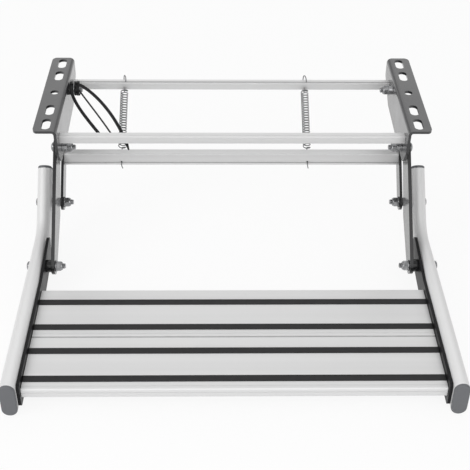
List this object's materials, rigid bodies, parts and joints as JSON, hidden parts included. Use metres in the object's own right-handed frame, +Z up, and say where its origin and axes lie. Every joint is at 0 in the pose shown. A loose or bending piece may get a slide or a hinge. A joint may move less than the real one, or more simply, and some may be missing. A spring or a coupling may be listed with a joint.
{
  "type": "caravan entry step",
  "caption": "Folding single entry step for a caravan or camper: slotted mounting brackets, swinging links with tension springs, and an aluminium tread with black grip strips.",
  "frame": {"origin": "middle of the deployed step's outline, at the level of the side tubes' undersides", "axes": "+X across the doorway to the right as seen from the front, +Y back under the vehicle, +Z up"},
  "size_m": [0.5858, 0.559, 0.206],
  "materials": {
    "powder_steel": "black powder coat, satin",
    "black_steel": "blackened, satin",
    "aluminium": "anodised, satin",
    "zinc_steel": "zinc plated",
    "spring_steel": "zinc plated wire",
    "cap_plastic": "moulded, matt grey",
    "grip_rubber": "matt, ribbed",
    "black_nylon": "satin"
  },
  "bodies": {
    "frame": {"bracket_left": "powder_steel", "bracket_right": "powder_steel", "rear_cross_rail": "aluminium", "front_cross_rail": "aluminium", "rail_screws": "black_steel", "bracket_pivot_bolts": "zinc_steel", "bracket_pivot_nuts": "zinc_steel", "bracket_pivot_washers": "zinc_steel", "cable_tie_long": "black_nylon", "cable_tie_flat": "black_nylon", "cable_tie_short": "black_nylon"},
    "front_links": {"front_link_left": "powder_steel", "front_link_right": "powder_steel"},
    "rear_links": {"rear_link_left": "powder_steel", "rear_link_right": "powder_steel", "spring_rail": "aluminium", "spring_rail_screws": "zinc_steel"},
    "step": {"side_tube_left": "aluminium", "side_tube_right": "aluminium", "front_cap_left": "cap_plastic", "front_cap_right": "cap_plastic", "top_cap_left": "cap_plastic", "top_cap_right": "cap_plastic", "side_angle_left": "powder_steel", "side_angle_right": "powder_steel", "angle_rivets": "zinc_steel", "rear_tread_plank": "aluminium", "front_tread_plank": "aluminium", "rear_grip_strips": "grip_rubber", "front_grip_strips": "grip_rubber", "plank_screws": "zinc_steel", "step_pivot_bolts": "zinc_steel", "step_pivot_nuts": "zinc_steel", "step_pivot_washers": "zinc_steel", "step_pivot_spacers": "zinc_steel"},
    "springs": {"spring_left": "spring_steel", "spring_right": "spring_steel"}
  },
  "joints": [
    {"name": "front_link_swing", "type": "hinge", "parent": "frame", "child": "front_links", "pos_m": [0, 0.0935, 0.158], "axis": [1, 0, 0], "range_deg": [0, 105]},
    {"name": "rear_link_swing", "type": "hinge", "parent": "frame", "child": "rear_links", "pos_m": [0, 0.2075, 0.189], "axis": [1, 0, 0], "range_deg": [0, 105]},
    {"name": "step_swing", "type": "hinge", "parent": "front_links", "child": "step", "pos_m": [0, -0.0265, 0.034], "axis": [1, 0, 0], "range_deg": [-105, 0]},
    {"name": "spring_swing", "type": "hinge", "parent": "frame", "child": "springs", "pos_m": [0, 0.2445, 0.178], "axis": [1, 0, 0], "range_deg": [0, 113.4], "deforming": ["spring_left", "spring_right"]}
  ],
  "couplings": [
    {"joint": "rear_link_swing", "follows": "front_link_swing", "ratio": 1},
    {"joint": "step_swing", "follows": "front_link_swing", "ratio": -1},
    {"joint": "spring_swing", "follows": "front_link_swing", "ratio": 1.08}
  ]
}
